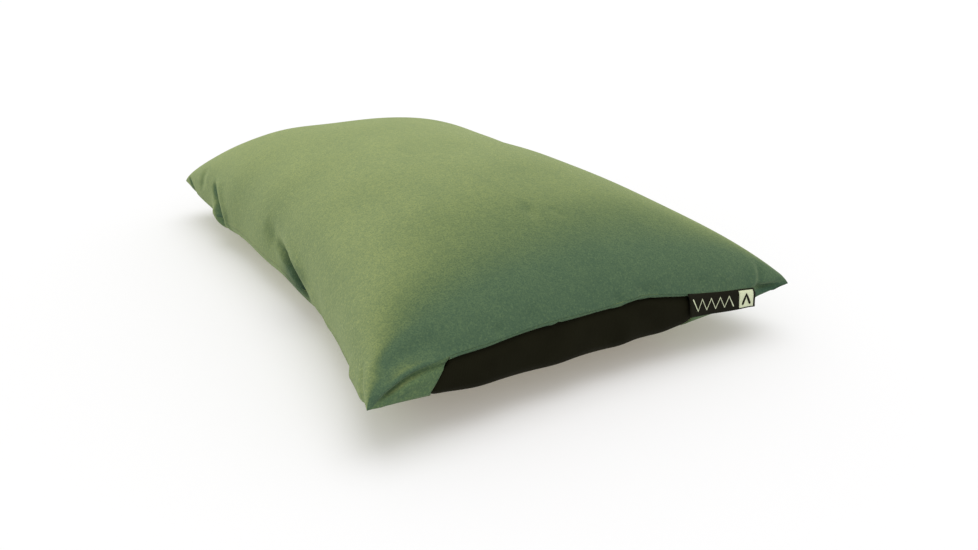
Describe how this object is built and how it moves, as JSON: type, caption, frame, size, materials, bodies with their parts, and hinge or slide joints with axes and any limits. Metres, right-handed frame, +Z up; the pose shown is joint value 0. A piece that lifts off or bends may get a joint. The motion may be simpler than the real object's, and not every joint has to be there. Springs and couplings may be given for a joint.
{
  "type": "camp pillow",
  "caption": "Soft rectangular camp pillow: air core with a flat two-stage valve, foam topper and brushed cover with a built-in stuff sack at one end.",
  "frame": {"origin": "middle of the footprint, on the surface that the pillow lies on", "axes": "+Y along the length, away from the stuff sack's mouth; +X across, towards the label; +Z up"},
  "size_m": [0.28, 0.43, 0.0958],
  "materials": {
    "suede": "brushed microsuede",
    "suede_under": "brushed knit",
    "binding": "ribbed binding tape",
    "black_knit": "stretch knit",
    "black_liner": "plain woven lining",
    "elastic": "knitted elastic",
    "label": "damask woven tape",
    "care_tag": "satin ribbon",
    "foam": "open-cell foam",
    "film": "coated nylon film",
    "valve_body": "moulded, satin",
    "valve_plug": "moulded, satin",
    "valve_cap": "moulded, satin",
    "silicone": "soft silicone"
  },
  "bodies": {
    "pillow": {"cover_top": "suede", "cover_bottom": "suede_under", "opening_hem": "suede", "valve_opening_binding": "binding", "stuff_sack_panel": "black_knit", "stuff_sack_liner": "black_liner", "mouth_elastic": "elastic", "label_tape": "label", "care_tag": "care_tag", "foam_topper": "foam", "bladder_top_film": "film", "bladder_bottom_film": "film", "baffle_1": "film", "baffle_2": "film", "baffle_3": "film", "baffle_4": "film", "valve_base": "valve_body"},
    "dump_plug": {"dump_plug": "valve_plug"},
    "port_cap": {"port_cap": "valve_cap"},
    "check_flap": {"check_flap": "silicone"}
  },
  "joints": [
    {"name": "plug_hinge", "type": "hinge", "parent": "pillow", "child": "dump_plug", "pos_m": [0.048, 0.088, 0.0073], "axis": [1, 0, 0], "range_deg": [0, 105]},
    {"name": "cap_hinge", "type": "hinge", "parent": "dump_plug", "child": "port_cap", "pos_m": [0.048, 0.0594, 0.0058], "axis": [-1, 0, 0], "range_deg": [0, 150]},
    {"name": "flap_hinge", "type": "hinge", "parent": "dump_plug", "child": "check_flap", "pos_m": [0.048, 0.0774, 0.01405], "axis": [-1, 0, 0], "range_deg": [0, 25]}
  ]
}
